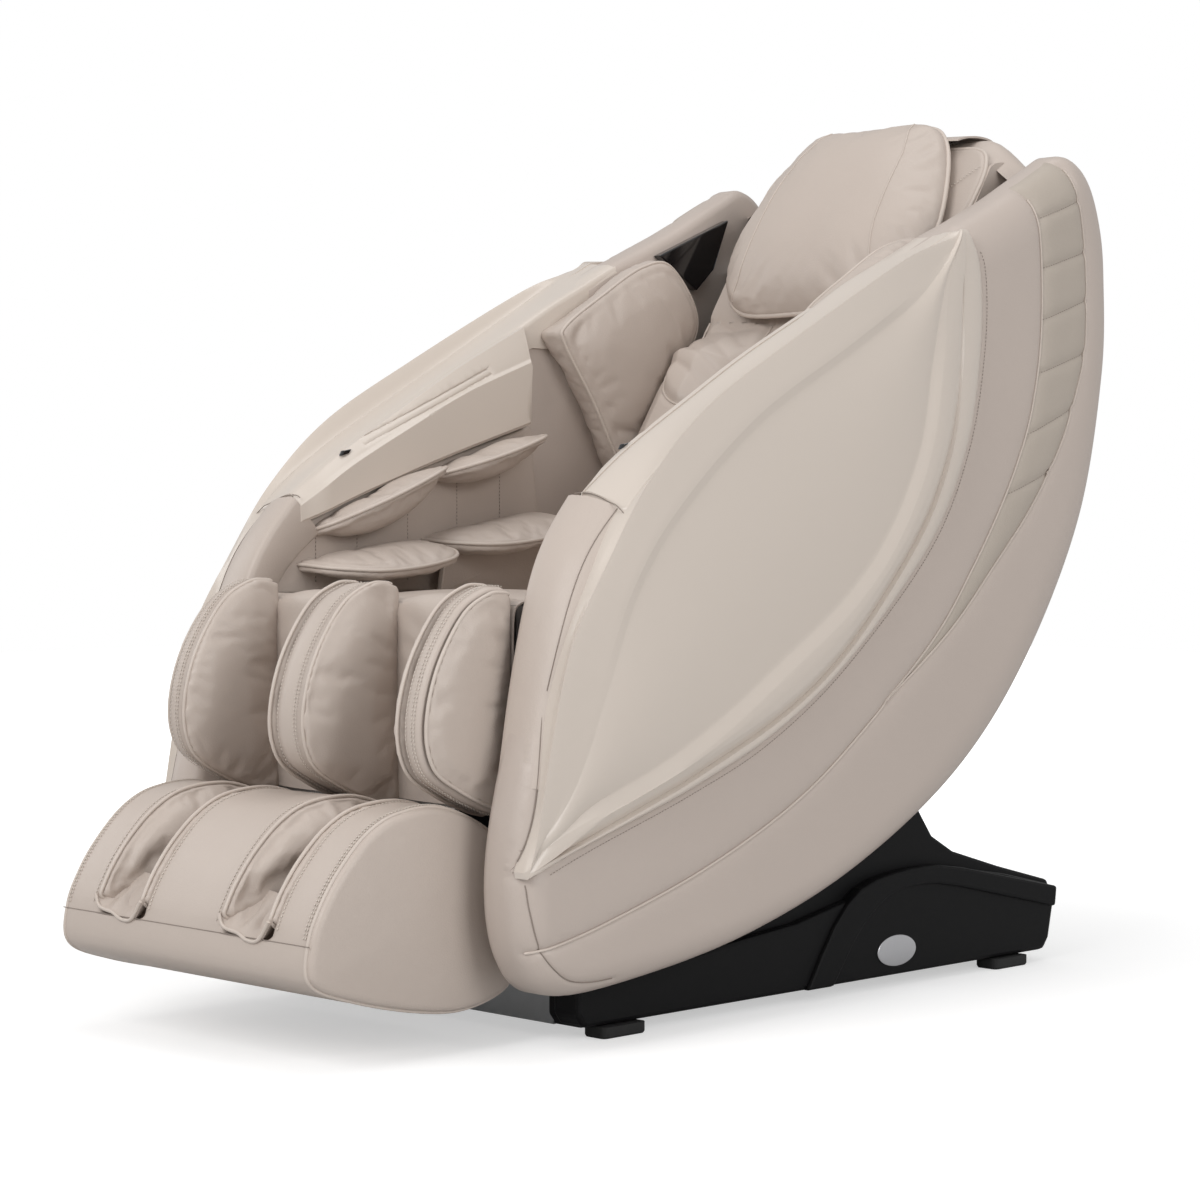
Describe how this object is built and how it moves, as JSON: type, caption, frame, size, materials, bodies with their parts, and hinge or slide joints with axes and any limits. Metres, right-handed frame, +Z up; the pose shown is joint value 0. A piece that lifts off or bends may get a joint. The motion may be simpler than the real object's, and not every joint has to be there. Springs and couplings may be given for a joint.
{
  "type": "massage chair",
  "caption": "Reclining massage chair with tall painted side panels, padded arms, a calf and foot massage unit and a head pillow on a low black base.",
  "frame": {"origin": "on the floor, under the middle of the bounding box", "axes": "+Z up, the sitter faces -Y, +X is to the sitter's left"},
  "size_m": [0.8, 1.4486, 1.2555],
  "materials": {
    "taupe_leather": "smooth upholstery leather",
    "taupe_paint": "satin lacquer over a moulded skin",
    "black_moulding": "fine grained black moulding",
    "black_rubber": "matte",
    "grey_steel": "powder coated",
    "bright_steel": "ground and plated",
    "grey_housing": "matte",
    "roller_rubber": "matte"
  },
  "bodies": {
    "base": {"chassis_tray": "grey_steel", "base_cover_left": "black_moulding", "base_cover_right": "black_moulding", "rear_cover": "black_moulding", "foot_front_left": "black_rubber", "foot_front_right": "black_rubber", "foot_rear_left": "black_rubber", "foot_rear_right": "black_rubber", "control_box": "grey_housing", "air_pump": "grey_housing"},
    "rocker": {"rocker_switch": "black_rubber"},
    "wheel_left": {"transport_wheel_left": "black_rubber"},
    "wheel_right": {"transport_wheel_right": "black_rubber"},
    "recline_drive": {"recline_motor": "grey_housing"},
    "recline_shaft": {"recline_rod": "bright_steel"},
    "chair_body": {"side_panel_left": "taupe_leather", "side_panel_right": "taupe_leather", "leaf_panel_left": "taupe_paint", "leaf_panel_right": "taupe_paint", "arm_cover_left": "taupe_paint", "arm_cover_right": "taupe_paint", "arm_pad_upper_front_left": "taupe_leather", "arm_pad_upper_front_right": "taupe_leather", "arm_pad_upper_rear_left": "taupe_leather", "arm_pad_upper_rear_right": "taupe_leather", "arm_pad_lower_front_left": "taupe_leather", "arm_pad_lower_front_right": "taupe_leather", "arm_pad_lower_rear_left": "taupe_leather", "arm_pad_lower_rear_right": "taupe_leather", "shoulder_pad_left": "taupe_leather", "shoulder_pad_right": "taupe_leather", "speaker_left": "black_moulding", "speaker_right": "black_moulding", "seat_cushion": "taupe_leather", "seat_pan": "grey_steel", "tilt_bracket_left": "grey_steel", "tilt_bracket_right": "grey_steel", "back_pad": "taupe_leather", "track_frame": "grey_steel", "back_cover": "black_moulding", "back_hood": "taupe_leather", "leg_drive": "grey_housing", "knee_shaft": "bright_steel"},
    "carriage": {"carriage_frame": "grey_steel", "massage_gearbox": "grey_housing"},
    "roller_arm_left": {"roller_arm_left": "grey_steel"},
    "roller_arm_right": {"roller_arm_right": "grey_steel"},
    "pillow": {"head_pillow": "taupe_leather"},
    "legrest": {"calf_frame": "grey_steel", "calf_wall_left": "taupe_leather", "calf_wall_centre": "taupe_leather", "calf_wall_right": "taupe_leather"},
    "footrest": {"foot_shell": "taupe_leather", "guide_bar": "bright_steel"},
    "sole_roller_left": {"sole_roller_left": "roller_rubber"},
    "sole_roller_right": {"sole_roller_right": "roller_rubber"},
    "roller_upper_left": {"roller_upper_left": "roller_rubber"},
    "roller_upper_right": {"roller_upper_right": "roller_rubber"},
    "roller_lower_left": {"roller_lower_left": "roller_rubber"},
    "roller_lower_right": {"roller_lower_right": "roller_rubber"}
  },
  "joints": [
    {"name": "rocker_tilt", "type": "hinge", "parent": "base", "child": "rocker", "pos_m": [0.01, 0.6675, 0.068], "axis": [1, 0, 0], "range_deg": [-8, 8]},
    {"name": "wheel_left_spin", "type": "hinge", "parent": "base", "child": "wheel_left", "pos_m": [0.175, 0.6345, 0.034], "axis": [1, 0, 0], "continuous": true},
    {"name": "wheel_right_spin", "type": "hinge", "parent": "base", "child": "wheel_right", "pos_m": [-0.175, 0.6345, 0.034], "axis": [1, 0, 0], "continuous": true},
    {"name": "chair_recline", "type": "hinge", "parent": "base", "child": "chair_body", "pos_m": [0, 0.1065, 0.3], "axis": [-1, 0, 0], "range_deg": [0, 30]},
    {"name": "recline_drive_swing", "type": "hinge", "parent": "base", "child": "recline_drive", "pos_m": [0, -0.0135, 0.085], "axis": [-1, 0, 0], "range_deg": [0, 18.6]},
    {"name": "recline_rod_slide", "type": "slide", "parent": "recline_drive", "child": "recline_shaft", "axis": [0, -0.5021, 0.8648], "range_m": [0, 0.0985]},
    {"name": "carriage_lift", "type": "slide", "parent": "chair_body", "child": "carriage", "axis": [0, 0.541, 0.841], "range_m": [-0.13, 0.2]},
    {"name": "roller_rock_left", "type": "hinge", "parent": "carriage", "child": "roller_arm_left", "pos_m": [0.04, 0.44058, 0.76949], "axis": [1, 0, 0], "range_deg": [-8, 8]},
    {"name": "roller_rock_right", "type": "hinge", "parent": "carriage", "child": "roller_arm_right", "pos_m": [-0.04, 0.44058, 0.76949], "axis": [1, 0, 0], "range_deg": [-8, 8]},
    {"name": "pillow_flip", "type": "hinge", "parent": "chair_body", "child": "pillow", "pos_m": [0, 0.6379, 1.23708], "axis": [-1, 0, 0], "range_deg": [0, 100]},
    {"name": "leg_lift", "type": "hinge", "parent": "chair_body", "child": "legrest", "pos_m": [0, -0.3435, 0.53], "axis": [-1, 0, 0], "range_deg": [0, 80]},
    {"name": "foot_slide", "type": "slide", "parent": "legrest", "child": "footrest", "axis": [0, 0, -1], "range_m": [0, 0.12]},
    {"name": "roller_upper_left_spin", "type": "hinge", "parent": "roller_arm_left", "child": "roller_upper_left", "pos_m": [0.04, 0.47845, 0.82836], "axis": [1, 0, 0], "continuous": true},
    {"name": "roller_upper_right_spin", "type": "hinge", "parent": "roller_arm_right", "child": "roller_upper_right", "pos_m": [-0.04, 0.47845, 0.82836], "axis": [1, 0, 0], "continuous": true},
    {"name": "roller_lower_left_spin", "type": "hinge", "parent": "roller_arm_left", "child": "roller_lower_left", "pos_m": [0.04, 0.40271, 0.71062], "axis": [1, 0, 0], "continuous": true},
    {"name": "roller_lower_right_spin", "type": "hinge", "parent": "roller_arm_right", "child": "roller_lower_right", "pos_m": [-0.04, 0.40271, 0.71062], "axis": [1, 0, 0], "continuous": true},
    {"name": "sole_roller_left_spin", "type": "hinge", "parent": "footrest", "child": "sole_roller_left", "pos_m": [0.128, -0.5535, 0.129], "axis": [1, 0, 0], "continuous": true},
    {"name": "sole_roller_right_spin", "type": "hinge", "parent": "footrest", "child": "sole_roller_right", "pos_m": [-0.128, -0.5535, 0.129], "axis": [1, 0, 0], "continuous": true}
  ],
  "couplings": [
    {"joint": "recline_drive_swing", "follows": "chair_recline", "ratio": 0.616},
    {"joint": "recline_rod_slide", "follows": "chair_recline", "m_per_rad": 0.1876},
    {"joint": "roller_rock_right", "follows": "roller_rock_left", "ratio": -1},
    {"joint": "foot_slide", "follows": "leg_lift", "m_per_rad": 0.0859}
  ]
}
